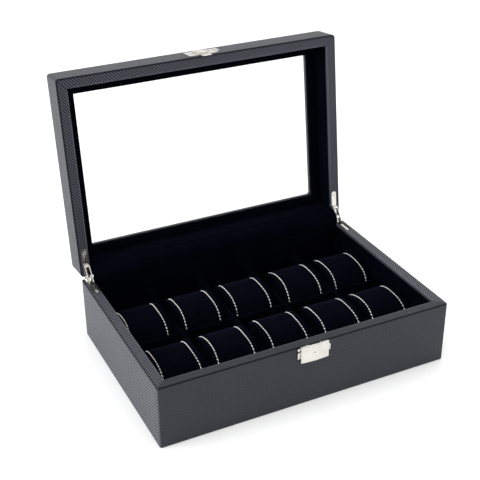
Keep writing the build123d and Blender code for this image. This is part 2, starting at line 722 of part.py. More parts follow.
def write_hinges():
    for name, place in (("right", lambda shape: shape), ("left", mirrored)):
        save(f"{name}_hinge_base_leaf", place(base_leaf()))
        save(f"{name}_hinge_lid_leaf", opened(place(lid_leaf())))
        save(f"{name}_hinge_pin", opened(place(hinge_pin())))
        save(f"{name}_hinge_stays", place(stays()))
        save(f"{name}_stay_pin", place(stay_pin()))
    base_screw = screw(*BASE_SCREW)
    lid_screw = screw(*LID_SCREW)
    save("hinge_base_screws", Compound(children=[base_screw, mirrored(base_screw)]))
    save("hinge_lid_screws", opened(Compound(children=[lid_screw, mirrored(lid_screw)])))
    save("hinge_flap", hinge_flap())


def write_lock():
    save("lock_plate", lock_plate())
    save("lock_case", lock_case())
    save("key_barrel", key_barrel())
    save("lock_bolt", lock_bolt())
    save("lock_screws", Compound(children=[screw(*spec) for spec in LOCK_SCREWS]))
    save("lid_catch", opened(catch()))
    save("catch_screws", opened(Compound(children=[screw(*spec) for spec in CATCH_SCREWS])))


os.makedirs("parts", exist_ok=True)
write_base()
write_cushions()
write_lid()
write_hinges()
write_lock()
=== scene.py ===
import json
import math
import random

import bmesh
import bpy
from mathutils import Matrix, Vector, noise


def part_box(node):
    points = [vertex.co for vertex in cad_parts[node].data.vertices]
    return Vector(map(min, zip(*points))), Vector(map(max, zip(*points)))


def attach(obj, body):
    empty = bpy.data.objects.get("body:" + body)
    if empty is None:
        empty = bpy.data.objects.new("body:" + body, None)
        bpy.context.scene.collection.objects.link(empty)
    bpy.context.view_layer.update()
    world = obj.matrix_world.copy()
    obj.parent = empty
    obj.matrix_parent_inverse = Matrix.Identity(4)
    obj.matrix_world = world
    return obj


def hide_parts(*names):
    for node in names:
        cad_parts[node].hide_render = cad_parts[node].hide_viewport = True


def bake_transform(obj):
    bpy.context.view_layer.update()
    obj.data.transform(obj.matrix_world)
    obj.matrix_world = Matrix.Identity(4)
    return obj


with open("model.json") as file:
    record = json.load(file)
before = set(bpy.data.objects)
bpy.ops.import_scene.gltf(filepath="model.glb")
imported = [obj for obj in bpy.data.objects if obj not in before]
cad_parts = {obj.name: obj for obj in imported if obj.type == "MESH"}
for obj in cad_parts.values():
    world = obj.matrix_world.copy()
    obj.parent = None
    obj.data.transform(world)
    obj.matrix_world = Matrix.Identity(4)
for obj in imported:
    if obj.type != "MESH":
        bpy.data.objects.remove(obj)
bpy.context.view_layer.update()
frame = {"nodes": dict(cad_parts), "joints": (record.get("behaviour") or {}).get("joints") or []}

nodes = frame["nodes"]
scene = bpy.context.scene
MM = 0.001

# Camera, measured as a place and three turns; the lens is for a 36 mm sensor.
CAMERA_PLACE = (-0.3591, -0.6967, 0.5442)
CAMERA_YAW = 25.916
CAMERA_PITCH = 28.759
CAMERA_ROLL = -0.474
CAMERA_LENS = 75.42

# Leatherette skins.
SKIN = 1.0 * MM
TURN_IN = 0.7 * MM
RETURN_DEPTH = 3.0 * MM
HEM_WIDTH = 12.0 * MM
BASE_CORNER = 2.0 * MM
LID_CORNER = 3.0 * MM
EDGE_ROUND = 0.9 * MM
LID_EDGE = 1.1 * MM
RETURN_EDGE = 0.7 * MM
RIM_FLAT = 1.7 * MM
MORTISE_GAP = 0.4 * MM
MORTISE_DEPTH = 4.6 * MM
POCKET_GAP = 0.2 * MM
POCKET_DEPTH = 1.05 * MM
BARREL_HALF_WIDTH = 2.9 * MM
BARREL_REACH = 3.4 * MM
BARREL_HEIGHT = 3.9 * MM
TOW = 1.475 * MM
SKIN_WAVE = 0.05 * MM

# How far cutters reach past the faces that they open.
PAST = 5 * MM
OVER = 1 * MM

# Velvet panels and cushions.
PANEL_ROUND = 0.55 * MM
PANEL_SPACING = 12 * MM
PANEL_WAVE = 0.10 * MM
NOTCH_GAP = 0.3 * MM
STITCH_RING_X = 16.85 * MM
STITCH_LENGTH = 2.2 * MM
STITCH_PITCH = 3.15 * MM
THREAD_RADIUS = 0.43 * MM
SEAM_WANDER = 1.3 * MM
CUSHION_COLUMNS = 64
CUSHION_POWER = 2.3
CUSHION_EDGE = 5.0 * MM
CUSHION_ROOM = (1.3 * MM, 1.2 * MM, 1.0 * MM)
PUCKER_WIDTH = 1.25 * MM
PUCKER_DEPTH = 0.75 * MM
STITCH_PULL = 0.16 * MM
CUSHION_VARIANTS = 3
SWELL_CAP = 1.6 * MM

# Velvet strip: room to the hinges at its ends, room to the walls, thickness and bow.
STRIP_GAP = 0.4 * MM
STRIP_ROOM = 0.4 * MM
STRIP_THICK = 0.7 * MM
STRIP_BOW = 1.1 * MM

# The lid is built closed and then turned open about its hinge.
LID_HINGE = next(joint for joint in frame["joints"] if joint["name"] == "lid_hinge")
PIVOT = Vector(LID_HINGE["pos_m"])
OPEN_ANGLE = math.radians(LID_HINGE["range_deg"][1])
OPENING = (
    Matrix.Translation(PIVOT) @ Matrix.Rotation(-OPEN_ANGLE, 4, "X") @ Matrix.Translation(-PIVOT)
)
CLOSING = OPENING.inverted()


def closed_box(node):
    """Lowest and highest corner of a lid node with the lid closed."""
    points = [CLOSING @ v.co for v in nodes[node].data.vertices]
    low = Vector(min(p[i] for p in points) for i in range(3))
    high = Vector(max(p[i] for p in points) for i in range(3))
    return low, high


# ---------------------------------------------------------------- materials


class Shader:
    """A Principled material with short calls for its procedural inputs."""

    def __init__(self, name, color, roughness, **sockets):
        self.material = bpy.data.materials.new(name)
        self.material.use_nodes = True
        self.tree = self.material.node_tree
        self.bsdf = self.tree.nodes["Principled BSDF"]
        self.bsdf.inputs["Base Color"].default_value = (*color, 1)
        self.bsdf.inputs["Roughness"].default_value = roughness
        for socket, value in sockets.items():
            self.bsdf.inputs[socket.replace("_", " ")].default_value = value
        self.height = None

    def node(self, kind, **settings):
        made = self.tree.nodes.new(kind)
        for key, value in settings.items():
            setattr(made, key, value)
        return made

    def link(self, output, target):
        self.tree.links.new(output, target)

    def coordinates(self, scale=(1, 1, 1)):
        """Object coordinates in metres, stretched."""
        source = self.node("ShaderNodeTexCoord").outputs["Object"]
        mapping = self.node("ShaderNodeMapping")
        mapping.inputs["Scale"].default_value = scale
        self.link(source, mapping.inputs["Vector"])
        return mapping.outputs["Vector"]

    def noise(self, scale, detail=3.0, stretch=(1, 1, 1), roughness=0.55):
        texture = self.node("ShaderNodeTexNoise")
        texture.inputs["Scale"].default_value = scale
        texture.inputs["Detail"].default_value = detail
        texture.inputs["Roughness"].default_value = roughness
        self.link(self.coordinates(stretch), texture.inputs["Vector"])
        return texture.outputs["Fac"]

    def spread(self, value, low, high, start=0.0, end=1.0):
        """Maps a value from start..end to low..high."""
        change = self.node("ShaderNodeMapRange")
        for socket, number in (("From Min", start), ("From Max", end), ("To Min", low), ("To Max", high)):
            change.inputs[socket].default_value = number
        self.link(value, change.inputs["Value"])
        return change.outputs["Result"]

    def math(self, operation, a, b=None):
        """One Math node; a and b are outputs or numbers."""
        made = self.node("ShaderNodeMath", operation=operation)
        for socket, value in zip(made.inputs, (a, b)):
            if value is None:
                continue
            if isinstance(value, (int, float)):
                socket.default_value = value
            else:
                self.link(value, socket)
        return made.outputs[0]

    def blend(self, factor, color_a, color_b):
        """Mix of two colours, each a triple or an output."""
        made = self.node("ShaderNodeMix", data_type="RGBA")
        self.link(factor, made.inputs["Factor"])
        for socket, color in ((made.inputs[6], color_a), (made.inputs[7], color_b)):
            if isinstance(color, tuple):
                socket.default_value = (*color, 1)
            else:
                self.link(color, socket)
        return made.outputs[2]

    def color(self, output):
        self.link(output, self.bsdf.inputs["Base Color"])

    def roughness(self, output):
        self.link(output, self.bsdf.inputs["Roughness"])

    def bump(self, height, distance, strength=1.0):
        """Adds a bump on top of those made before it."""
        made = self.node("ShaderNodeBump")
        made.inputs["Distance"].default_value = distance
        made.inputs["Strength"].default_value = strength
        self.link(height, made.inputs["Height"])
        if self.height is not None:
            self.link(self.height, made.inputs["Normal"])
        self.height = made.outputs["Normal"]
        self.link(self.height, self.bsdf.inputs["Normal"])


def scaled(color, factor):
    return tuple(factor * channel for channel in color)


def weave_height(shader):
    """Height and warp mask of a plain weave of flat tows, from the weave coordinates in metres."""
    uv = shader.node("ShaderNodeUVMap", uv_map="weave").outputs["UV"]
    split = shader.node("ShaderNodeSeparateXYZ")
    shader.link(uv, split.inputs[0])
    across = shader.math("DIVIDE", split.outputs["X"], TOW)
    along = shader.math("DIVIDE", split.outputs["Y"], TOW)
    cell_sum = shader.math("ADD", shader.math("FLOOR", across), shader.math("FLOOR", along))
    warp = shader.math("LESS_THAN", shader.math("FLOORED_MODULO", cell_sum, 2.0), 0.5)

    def arch(value):
        """1 in the middle of 0..1 and 0 at its ends."""
        centred = shader.math("SUBTRACT", shader.math("MULTIPLY", value, 2.0), 1.0)
        return shader.math("SUBTRACT", 1.0, shader.math("POWER", shader.math("ABSOLUTE", centred), 2.5))

    arch_across = arch(shader.math("FRACT", across))
    arch_along = arch(shader.math("FRACT", along))
    over = shader.math("MULTIPLY", arch_across, shader.spread(arch_along, 0.4, 1.0))
    under = shader.math("MULTIPLY", arch_along, shader.spread(arch_across, 0.4, 1.0))
    pick = shader.node("ShaderNodeMix", data_type="FLOAT")
    shader.link(warp, pick.inputs["Factor"])
    shader.link(under, pick.inputs[2])
    shader.link(over, pick.inputs[3])
    return pick.outputs[0], warp


def leatherette(name, light_tow, dark_tow, dull, glossy):
    """Black coated fabric with a carbon-look weave; dull and glossy are the tows' specular levels."""
    made = Shader(name, light_tow, 0.4, Specular_IOR_Level=0.5)
    made.bsdf.inputs["Specular Tint"].default_value = (0.86, 0.89, 1.0, 1)
    height, warp = weave_height(made)
    cloudy = made.noise(38, 4)
    warp_color = made.blend(cloudy, scaled(light_tow, 0.8), scaled(light_tow, 1.15))
    weft_color = made.blend(cloudy, scaled(dark_tow, 0.65), scaled(dark_tow, 1.35))
    woven = made.blend(warp, weft_color, warp_color)
    shaded = made.node("ShaderNodeMix", data_type="RGBA", blend_type="MULTIPLY")
    shaded.inputs["Factor"].default_value = 1.0
    made.link(woven, shaded.inputs[6])
    made.link(made.spread(height, 0.3, 1.0), shaded.inputs[7])
    # Painted shade and highlight on the edges: a positive edge value paints the edge dark and lowers its
    # specular, a negative one paints it lighter in patches.
    edge = made.node("ShaderNodeAttribute", attribute_name="painted_edge_shading").outputs["Fac"]
    painted_edge_shade = made.math("POWER", made.math("MAXIMUM", edge, 0.0), 2.0)
    painted_edge_highlight = made.math(
        "MULTIPLY",
        made.math("MAXIMUM", made.math("MULTIPLY", edge, -1.0), 0.0),
        made.spread(made.noise(420, 5), 0.3, 1.0, 0.42, 0.68),
    )
    dark_edge = made.blend(painted_edge_shade, shaded.outputs[2], (0.002, 0.002, 0.005))
    made.color(made.blend(painted_edge_highlight, dark_edge, (0.11, 0.115, 0.14)))
    made.roughness(made.spread(made.noise(900, 4), 0.34, 0.52, 0.3, 0.7))
    shine = made.math("SUBTRACT", made.spread(warp, dull, glossy), made.math("MULTIPLY", painted_edge_shade, 0.30))
    made.link(shine, made.bsdf.inputs["Specular IOR Level"])
    made.bump(height, 0.20 * MM, 0.8)
    made.bump(made.noise(3800, 3), 0.03 * MM, 0.5)
    return made.material


def velvet(name, lit, dark, sheen):
    """Short cut pile: nearly black, with brushed patches and a soft glow at grazing angles."""
    made = Shader(name, lit, 0.92, Specular_IOR_Level=0.012)
    made.bsdf.inputs["Sheen Weight"].default_value = sheen
    made.bsdf.inputs["Sheen Roughness"].default_value = 0.38
    made.bsdf.inputs["Sheen Tint"].default_value = (0.30, 0.42, 0.90, 1)
    brushed = made.spread(made.noise(55, 4, (1, 0.6, 0.8), 0.6), 0.0, 1.0, 0.35, 0.68)
    speck = made.spread(made.noise(5200, 2), 0.0, 1.0, 0.36, 0.66)
    base = made.blend(brushed, dark, lit)
    faded = made.blend(made.math("MULTIPLY", speck, 0.55), base, scaled(lit, 2.1))
    made.color(faded)
    made.roughness(made.spread(brushed, 0.84, 0.98))
    made.bump(made.noise(4300, 3), 0.12 * MM, 0.6)
    made.bump(made.noise(170, 3), 0.25 * MM, 0.35)
    return made.material


def thread():
    """Off-white waxed polyester thread with fine fibres along it."""
    made = Shader("stitching_thread", (0.9, 0.88, 0.84), 0.62)
    made.bsdf.inputs["Sheen Weight"].default_value = 0.25
    fibre = made.noise(6500, 3)
    made.color(made.blend(made.noise(700, 3), (0.84, 0.82, 0.76), (0.96, 0.955, 0.93)))
    made.roughness(made.spread(fibre, 0.5, 0.75))
    made.bump(fibre, 0.05 * MM, 0.6)
    return made.material


def metal(name, dull, bright, low, high, scratch=0.5):
    """Plated metal with finger smears, fine scratches and a slight ripple of the plating."""
    made = Shader(name, bright, high, Metallic=1.0)
    smear = made.spread(made.noise(120, 4), 0.0, 1.0, 0.35, 0.7)
    scratches = made.noise(2600, 4, (0.06, 1, 1))
    made.color(made.blend(smear, bright, dull))
    grain = made.math("MULTIPLY", made.spread(scratches, 0.0, 1.0, 0.4, 0.7), scratch)
    made.roughness(made.spread(made.math("ADD", smear, grain), low, high, 0.0, 1.6))
    made.bump(scratches, 0.008 * MM, 0.35)
    made.bump(made.noise(260, 2), 0.03 * MM, 0.25)
    return made.material


def keyway_metal():
    """Nickel whose key slot and sides are painted dark as shade in the recess."""
    made = Shader("key_barrel_metal", (0.8, 0.78, 0.74), 0.25, Metallic=1.0)
    split = made.node("ShaderNodeSeparateXYZ")
    made.link(made.coordinates(), split.inputs[0])
    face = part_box("key_barrel")[0].y
    recess_shade = made.spread(split.outputs["Y"], 0.0, 1.0, face + 0.30 * MM, face + 0.36 * MM)
    grain = made.noise(1800, 4)
    # Painted shade: everything more than 0.3 mm behind the barrel's face is coloured nearly black.
    made.color(made.blend(recess_shade, (0.80, 0.78, 0.74), (0.006, 0.005, 0.005)))
    recess_and_grain = made.math("ADD", recess_shade, made.math("MULTIPLY", grain, 0.4))
    made.roughness(made.spread(recess_and_grain, 0.15, 0.8, 0.0, 1.4))
    made.bump(grain, 0.02 * MM, 0.3)
    return made.material


def glass():
    """Clear glass with faint dust; its index is 1, because stray reflections came out as grain."""
    made = Shader("clear_glass", (0.985, 0.995, 0.99), 0.0, IOR=1.0)
    made.bsdf.inputs["Transmission Weight"].default_value = 1.0
    made.roughness(made.spread(made.noise(40, 2), 0.0, 0.004, 0.5, 0.8))
    return made.material


def fibreboard():
    """Pressed wood fibre stained dark, with lighter flecks."""
    made = Shader("fibreboard", (0.03, 0.024, 0.02), 0.8)
    fleck = made.noise(1500, 5, (1, 0.25, 1), 0.7)
    made.color(made.blend(fleck, (0.014, 0.011, 0.010), (0.050, 0.040, 0.032)))
    made.roughness(made.spread(fleck, 0.7, 0.92))
    made.bump(fleck, 0.12 * MM, 0.5)
    return made.material


def felt():
    """Pressed black felt with stray lighter fibres."""
    made = Shader("felt", (0.02, 0.02, 0.023), 0.95, Specular_IOR_Level=0.1)
    made.bsdf.inputs["Sheen Weight"].default_value = 0.3
    fibres = made.noise(1900, 5, (1, 1, 1), 0.75)
    stray = made.spread(fibres, 0.0, 1.0, 0.4, 0.7)
    made.color(made.blend(stray, (0.012, 0.012, 0.014), (0.05, 0.05, 0.055)))
    made.roughness(made.spread(fibres, 0.86, 1.0))
    made.bump(fibres, 0.3 * MM, 0.8)
    return made.material


# One leatherette in three contrasts, with painted light: the weave is faint on the front, strong on the lid,
# and strong and bright on the base's other sides, as the light falls on each side. One leatherette in three
# contrasts: in the photo's light the weave is faint on the front, strong on the lid, and strong and bright
# on the base's other sides.
DEEP_TOW = (0.0015, 0.0015, 0.004)
BASE_LEATHERETTE = leatherette("base_leatherette", (0.026, 0.027, 0.036), (0.0075, 0.0078, 0.012), 0.33, 0.44)
LID_LEATHERETTE = leatherette("lid_leatherette", (0.066, 0.068, 0.090), DEEP_TOW, 0.20, 0.60)
END_LEATHERETTE = leatherette("base_end_leatherette", (0.100, 0.102, 0.130), DEEP_TOW, 0.20, 0.95)
LINING_VELVET = velvet("lining_velvet", (0.0008, 0.0010, 0.0030), (0.0002, 0.0003, 0.0010), 0.022)
CUSHION_VELVET = velvet("cushion_velvet", (0.0010, 0.0012, 0.0034), (0.0003, 0.0004, 0.0012), 0.030)
THREAD = thread()
NICKEL = metal("polished_nickel", (0.60, 0.58, 0.54), (0.71, 0.69, 0.65), 0.12, 0.30)
KEYWAY = keyway_metal()
# Dark steel for the lock's and the catch's screws.
DARK_STEEL = metal("dark_screw_metal", (0.02, 0.017, 0.015), (0.05, 0.044, 0.04), 0.3, 0.5)
STEEL = metal("zinc_plated_steel", (0.52, 0.52, 0.53), (0.70, 0.70, 0.71), 0.22, 0.45, 0.9)
GLASS = glass()
FIBREBOARD = fibreboard()
FELT = felt()


def paint(piece, material):
    piece.data.materials.clear()
    piece.data.materials.append(material)


# ---------------------------------------------------------------- mesh helpers


def new_piece(name, mesh_maker, material=None):
    """Object whose mesh a function fills through bmesh."""
    mesh = bpy.data.meshes.new(name)
    piece = bpy.data.objects.new(name, mesh)
    scene.collection.objects.link(piece)
    build = bmesh.new()
    mesh_maker(build)
    build.to_mesh(mesh)
    build.free()
    if material is not None:
        paint(piece, material)
    return piece


def smooth_by_angle(piece, degrees=38):
    """Smooth shading, with edges sharper than the angle kept hard."""
    build = bmesh.new()
    build.from_mesh(piece.data)
    bmesh.ops.recalc_face_normals(build, faces=build.faces)
    limit = math.radians(degrees)
    for face in build.faces:
        face.smooth = True
    for edge in build.edges:
        edge.smooth = len(edge.link_faces) == 2 and edge.calc_face_angle(0.0) < limit
    build.to_mesh(piece.data)
    build.free()


def bake_modifiers(piece):
    """Replaces a piece's mesh with what its modifiers make."""
    graph = bpy.context.evaluated_depsgraph_get()
    mesh = bpy.data.meshes.new_from_object(piece.evaluated_get(graph))
    piece.modifiers.clear()
    old = piece.data
    piece.data = mesh
    bpy.data.meshes.remove(old)


def cut(piece, *cutters):
    """Subtracts helper solids and throws them away."""
    for cutter in cutters:
        knife = piece.modifiers.new("cut", "BOOLEAN")
        knife.operation = "DIFFERENCE"
        knife.solver = "EXACT"
        knife.object = cutter
    bpy.context.view_layer.update()
    bake_modifiers(piece)
    for cutter in cutters:
        bpy.data.objects.remove(cutter)


def open_with_lid(piece):
    """Turns a piece built for the closed lid to the open pose and fixes it to the lid."""
    piece.data.transform(OPENING)
    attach(piece, "lid")


def stand_for(node):
    """Lets a piece replace its CAD node."""
    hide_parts(node)


def wobble(place, size, amount):
    """Small smooth random shift, the same each run."""
    return noise.noise(Vector(place) * size) * amount


def arc_points(centre, radius, start, end, steps):
    """Points on an arc, in degrees, for a profile of (inset, z)."""
    points = []
    for k in range(steps + 1):
        angle = math.radians(start + (end - start) * k / steps)
        points.append((centre[0] + radius * math.cos(angle), centre[1] + radius * math.sin(angle)))
    return points


# ---------------------------------------------------------------- wrapped rings


def rounded_loop(half_x, half_y, inset, radius, spacing):
    """Loop of (x, y, side) round a rectangle that is inset; side 0 is the front, then anticlockwise."""
    hx = half_x - inset
    hy = half_y - inset
    r = max(radius, 0.12 * MM)
    arc = (0, 18, 36, 54, 72, 90)
    counts = (int(2 * half_x / spacing), int(2 * half_y / spacing))
    corners = ((hx - r, -hy + r, -90), (hx - r, hy - r, 0), (-hx + r, hy - r, 90), (-hx + r, -hy + r, 180))
    loop = []
    for side in range(4):
        cx, cy, start = corners[side]
        px, py, _ = corners[side - 1]
        out = math.radians(start)
        from_x, from_y = px + r * math.cos(out), py + r * math.sin(out)
        to_x, to_y = cx + r * math.cos(out), cy + r * math.sin(out)
        count = counts[side % 2]
        for k in range(1, count):
            t = k / count
            loop.append((from_x + (to_x - from_x) * t, from_y + (to_y - from_y) * t, side))
        for degrees in arc:
            angle = math.radians(start + degrees)
            owner = side if degrees < 45 else (side + 1) % 4
            loop.append((cx + r * math.cos(angle), cy + r * math.sin(angle), owner))
    return loop


def ring(name, profile, half_x, half_y, materials, spacing=9 * MM, corner=None, wave=SKIN_WAVE):
    """Closed profile of (inset, z, painted edge shading) swept round a rounded rectangle, with weave
    coordinates.

    The front takes the first of the materials, and the other sides the last.
    """
    corner = corner or (lambda inset: 0.0)

    def fill(build):
        weave = build.loops.layers.uv.new("weave")
        # Painted edge shading per vertex: positive paints shade, negative paints a highlight.
        painted_edge_shading = build.verts.layers.float.new("painted_edge_shading")
        rows = []
        run = [0.0]
        for a, b in zip(profile, profile[1:]):
            run.append(run[-1] + math.dist(a[:2], b[:2]))
        for inset, z, edge_shading in profile:
            loop = rounded_loop(half_x, half_y, inset, corner(inset), spacing)
            row = []
            for x, y, side in loop:
                lift = wobble((x, y, z), 28, wave)
                vert = build.verts.new((x + lift, y + lift, z))
                vert[painted_edge_shading] = edge_shading
                row.append((vert, side))
            rows.append(row)
        count = len(rows[0])
        closing = run[-1] + math.dist(profile[-1][:2], profile[0][:2])
        for r in range(len(rows)):
            s = (r + 1) % len(rows)
            v0 = run[r]
            v1 = run[s] if s else closing
            for c in range(count):
                d = (c + 1) % count
                side = rows[r][c][1]
                quad = [rows[r][c][0], rows[r][d][0], rows[s][d][0], rows[s][c][0]]
                face = build.faces.new(quad)
                face.material_index = len(materials) - 1 if side else 0
                for loop, v in zip(face.loops, (v0, v0, v1, v1)):
                    u = loop.vert.co.x if side % 2 == 0 else loop.vert.co.y
                    loop[weave].uv = (u + 1.0, v + 1.0)

    piece = new_piece(name, fill)
    for material in materials:
        piece.data.materials.append(material)
    return piece


def box_cutter(name, low, high):
    def fill(build):
        made = bmesh.ops.create_cube(build, size=1.0)["verts"]
        for vert in made:
            vert.co = Vector(low[i] if vert.co[i] < 0 else high[i] for i in range(3))

    return new_piece(name, fill)


def slot_cutter(name, x, half_width, y_front, y_back, z_low, z_high):
    """Prism with a round front end."""

    def fill(build):
        outline = [(x + half_width, y_back), (x - half_width, y_back)]
        for k in range(17):
            angle = math.pi + math.pi * k / 16
            outline.append((x + half_width * math.cos(angle), y_front + half_width * (1 + math.sin(angle))))
        bottom = [build.verts.new((px, py, z_low)) for px, py in outline]
        top = [build.verts.new((px, py, z_high)) for px, py in outline]
        build.faces.new(bottom)
        build.faces.new(list(reversed(top)))
        for k in range(len(outline)):
            n = (k + 1) % len(outline)
            build.faces.new([bottom[n], bottom[k], top[k], top[n]])
        bmesh.ops.recalc_face_normals(build, faces=build.faces)

    return new_piece(name, fill)


def mitre_cutters(half_x, half_y, z, reach, width=0.22 * MM, depth=0.30 * MM):
    """Thin diamond prisms lying along the four mitres of a rim at height z."""
    cutters = []
    for sx in (-1, 1):
        for sy in (-1, 1):
            start = Vector((sx * (half_x + 1 * MM), sy * (half_y + 1 * MM), z))
            end = Vector((sx * (half_x - reach), sy * (half_y - reach), z))
            across = Vector((-sy, sx, 0)).normalized() * width
            up = Vector((0, 0, depth))

            def fill(build, start=start, end=end, across=across, up=up):
                ends = []
                for place in (start, end):
                    ends.append([build.verts.new(place + d) for d in (across, up, -across, -up)])
                build.faces.new(ends[0])
                build.faces.new(list(reversed(ends[1])))
                for k in range(4):
                    n = (k + 1) % 4
                    build.faces.new([ends[0][n], ends[0][k], ends[1][k], ends[1][n]])
                bmesh.ops.recalc_face_normals(build, faces=build.faces)

            cutters.append(new_piece("mitre_cutter", fill))
    return cutters


def base_skin():
    """The leatherette of the base, from the hem under it over the rim to the turned-in strip."""
    low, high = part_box("base_leatherette")
    half_x, half_y = high.x, high.y
    top, foot = high.z, low.z
    rim = half_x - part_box("base_lining_right")[1].x + TURN_IN
    r = EDGE_ROUND
    # The third number of each point is painted edge shading: positive paints an edge dark as shade, negative
    # paints it lighter as a highlight.
    profile = [(HEM_WIDTH, foot, 0.0)]
    profile += [(i, z, 0.5) for i, z in arc_points((r, foot + r), r, 270, 180, 4)]
    profile.append((0.0, foot + 1.6 * MM, 0.0))
    height = top - foot
    for share in (0.12, 0.3, 0.5, 0.7, 0.88):
        profile.append((0.0, foot + height * share, 0.0))
    profile.append((0.0, top - RIM_FLAT, 0.0))
    profile += [(i, z, 0.9) for i, z in arc_points((r, top - r), r, 180, 90, 5)]
    profile.append((RIM_FLAT, top, 0.0))
    profile.append((rim - 1.5 * MM, top, 0.0))
    inner_edge = arc_points((rim - RETURN_EDGE, top - RETURN_EDGE), RETURN_EDGE, 90, 0, 4)
    profile += [(i, z, -0.7) for i, z in inner_edge]
    profile.append((rim, top - 1.4 * MM, 0.0))
    profile.append((rim, top - RETURN_DEPTH, 0.0))
    profile.append((rim - TURN_IN, top - RETURN_DEPTH, 0.0))
    profile.append((rim - TURN_IN, top - SKIN, 0.0))
    profile.append((SKIN, top - SKIN, 0.0))
    profile.append((SKIN, foot + SKIN, 0.0))
    profile.append((HEM_WIDTH, foot + SKIN, 0.0))

    def corner(inset):
        return BASE_CORNER - inset

    # Painted light: the front takes the darker copy of the leatherette, and the other sides the brighter one.
    materials = (BASE_LEATHERETTE, END_LEATHERETTE)
    piece = ring("base_leatherette_skin", profile, half_x, half_y, materials, corner=corner)
    cutters = mitre_cutters(half_x, half_y, top, rim + 0.2 * MM)
    for side in ("left", "right"):
        leaf_low, leaf_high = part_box(side + "_hinge_base_leaf")
        x = (leaf_low.x + leaf_high.x) / 2
        half = (leaf_high.x - leaf_low.x) / 2 + MORTISE_GAP
        y_front = leaf_low.y - MORTISE_GAP
        y_back = half_y + PAST
        cutters.append(slot_cutter("mortise", x, half, y_front, y_back, top - MORTISE_DEPTH, top + OVER))
    cut(piece, *cutters)
    smooth_by_angle(piece)
    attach(piece, "base")
    stand_for("base_leatherette")


def lid_skin():
    """The leatherette of the lid, from the turned-in strip over the rim and top to the window's edge."""
    low, high = closed_box("lid_leatherette")
    half_x, half_y = high.x, high.y
    foot, top = low.z, high.z
    rim = half_x - closed_box("lid_lining_right")[1].x + TURN_IN
    pane_top = closed_box("glass_pane")[1].z
    window = half_x - window_half_x()
    r = EDGE_ROUND
    # The third number of each point is painted edge shading: positive paints an edge dark as shade, negative
    # paints it lighter as a highlight.
    profile = [(rim - TURN_IN, foot + RETURN_DEPTH, 0.0), (rim, foot + RETURN_DEPTH, 0.0)]
    profile += [(i, z, -0.6) for i, z in arc_points((rim - 0.7 * MM, foot + 0.7 * MM), 0.7 * MM, 0, -90, 4)]
    profile.append((rim - 1.5 * MM, foot, 0.0))
    profile.append((2.2 * MM, foot, 0.0))
    profile += [(i, z, 1.0) for i, z in arc_points((r, foot + r), r, 270, 180, 5)]
    profile.append((0.0, foot + 1.5 * MM, 0.0))
    for share in (0.25, 0.5, 0.75):
        profile.append((0.0, foot + (top - foot) * share, 0.0))
    profile += [(i, z, 0.4) for i, z in arc_points((LID_EDGE, top - LID_EDGE), LID_EDGE, 180, 90, 5)]
    for share in (0.25, 0.5, 0.75):
        profile.append((window * share, top, 0.0))
    profile += [(i, z, 0.8) for i, z in arc_points((window - 0.6 * MM, top - 0.6 * MM), 0.6 * MM, 90, 0, 4)]
    profile.append((window, pane_top, 0.0))
    profile.append((window - TURN_IN, pane_top, 0.0))
    profile.append((window - TURN_IN, top - SKIN, 0.0))
    profile.append((SKIN, top - SKIN, 0.0))
    profile.append((SKIN, foot + SKIN, 0.0))
    profile.append((rim - TURN_IN, foot + SKIN, 0.0))

    def corner(inset):
        if inset > window - 2 * MM:
            return 2.5 * MM + (window - inset)
        return LID_CORNER - inset

    piece = ring("lid_leatherette_skin", profile, half_x, half_y, (LID_LEATHERETTE,), corner=corner)
    cutters = mitre_cutters(half_x, half_y, foot, rim + 0.2 * MM)
    for side in ("left", "right"):
        leaf_low, leaf_high = closed_box(side + "_hinge_lid_leaf")
        x = (leaf_low.x + leaf_high.x) / 2
        half = (leaf_high.x - leaf_low.x) / 2 + POCKET_GAP
        y_front = leaf_low.y - POCKET_GAP
        y_back = half_y + PAST
        cutters.append(slot_cutter("pocket", x, half, y_front, y_back, foot - OVER, foot + POCKET_DEPTH))
        cutters.append(
            box_cutter(
                "barrel_pocket",
                (x - BARREL_HALF_WIDTH, half_y - BARREL_REACH, foot - OVER),
                (x + BARREL_HALF_WIDTH, y_back, foot + BARREL_HEIGHT),
            )
        )
    cut(piece, *cutters)
    smooth_by_angle(piece)
    open_with_lid(piece)
    stand_for("lid_leatherette")


def window_half_x():
    """Half the window's width, where the retainer's inner sides run straight."""
    points = [CLOSING @ v.co for v in nodes["glass_retainer"].data.vertices]
    outer = max(p.x for p in points)
    return max(abs(p.x) for p in points if abs(p.x) < outer - 1 * MM)


def glass_frame():
    """Velvet-covered frame that holds the pane."""
    low, high = closed_box("glass_retainer")
    inner = high.x - window_half_x()
    r = 0.55 * MM
    profile = [(0.0, high.z, 0), (0.0, low.z, 0), (inner * 0.5, low.z - 0.05 * MM, 0)]
    profile += [(i, z, 0) for i, z in arc_points((inner - r, low.z + r), r, 270, 360, 4)]
    profile.append((inner, high.z, 0))
    materials = (LINING_VELVET,)
    piece = ring("glass_retainer_frame", profile, high.x, high.y, materials, spacing=6 * MM, wave=0.12 * MM)
    smooth_by_angle(piece, 60)
    open_with_lid(piece)
    stand_for("glass_retainer")


# ---------------------------------------------------------------- velvet panels


